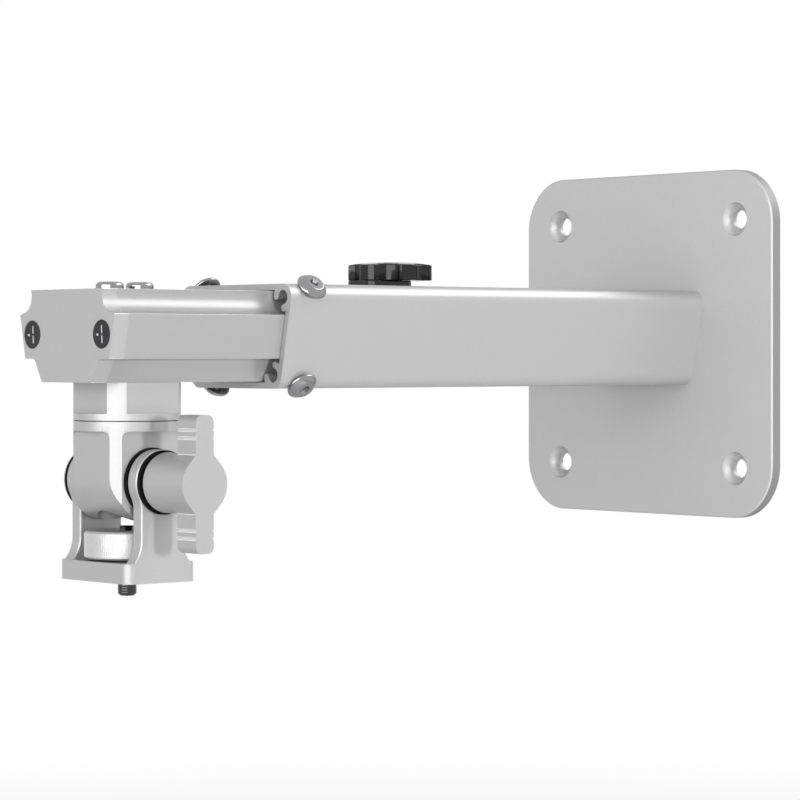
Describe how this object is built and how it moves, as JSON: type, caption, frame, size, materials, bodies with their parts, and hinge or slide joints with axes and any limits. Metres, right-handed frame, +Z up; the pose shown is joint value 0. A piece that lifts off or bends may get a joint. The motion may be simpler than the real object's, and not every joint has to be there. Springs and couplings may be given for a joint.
{
  "type": "projector wall mount",
  "caption": "Silver telescopic wall mount for a small projector: square wall plate, drawn sliding arm with a star lock knob, and a pan and tilt head with a wing knob and a camera screw.",
  "frame": {"origin": "middle of the wall plate's back face", "axes": "+Y into the wall, square on the plate; +X to the right when facing the wall; +Z up"},
  "size_m": [0.13, 0.2758, 0.1493],
  "materials": {
    "anodised_plate": "fine matt silver anodised sheet",
    "anodised_profile": "satin silver anodised profile",
    "anodised_cap": "fine matt silver anodised",
    "anodised_head": "satin silver anodised, milled",
    "anodised_knob": "fine matt silver anodised",
    "knurled_aluminium": "bright, finely knurled",
    "polished_steel": "polished",
    "plain_steel": "zinc plated",
    "gloss_black": "gloss black",
    "black_nylon": "smooth black",
    "black_steel": "gloss black plated"
  },
  "bodies": {
    "wall_arm": {"wall_plate": "anodised_plate", "outer_tube": "anodised_profile", "tube_fixing_screws": "polished_steel", "guide_screws": "polished_steel", "lock_plate": "gloss_black", "lock_bush": "plain_steel"},
    "slider": {"sliding_arm": "anodised_profile", "end_cap": "anodised_cap", "end_cap_screws": "polished_steel", "swivel_block": "anodised_head", "block_screws": "polished_steel", "pan_washer": "black_nylon", "pan_spring": "plain_steel", "pan_bolt": "plain_steel"},
    "lock_knob": {"lock_grip": "gloss_black", "lock_stud": "plain_steel", "lock_tip": "black_nylon"},
    "knuckle": {"knuckle": "anodised_head"},
    "yoke": {"yoke": "anodised_head", "inner_washers": "black_nylon", "outer_washers": "black_nylon", "tilt_bolt": "anodised_head"},
    "wing_knob": {"wing_knob": "anodised_knob"},
    "attachment": {"thumb_wheel": "knurled_aluminium", "projector_screw": "black_steel"}
  },
  "joints": [
    {"name": "arm_slide", "type": "slide", "parent": "wall_arm", "child": "slider", "axis": [0, -1, 0], "range_m": [-0.027, 0.085]},
    {"name": "lock_turn", "type": "hinge", "parent": "wall_arm", "child": "lock_knob", "pos_m": [0, -0.1347, 0.022], "axis": [0, 0, 1], "range_deg": [0, 360]},
    {"name": "pan", "type": "hinge", "parent": "slider", "child": "knuckle", "pos_m": [0, -0.251, -0.026], "axis": [0, 0, 1], "continuous": true},
    {"name": "tilt", "type": "hinge", "parent": "knuckle", "child": "yoke", "pos_m": [0, -0.251, -0.04595], "axis": [1, 0, 0], "range_deg": [-90, 90]},
    {"name": "tilt_knob_turn", "type": "hinge", "parent": "yoke", "child": "wing_knob", "pos_m": [0.0327, -0.251, -0.04595], "axis": [1, 0, 0], "range_deg": [0, 360]},
    {"name": "wheel_turn", "type": "hinge", "parent": "yoke", "child": "attachment", "pos_m": [0, -0.251, -0.0672], "axis": [0, 0, 1], "continuous": true}
  ]
}
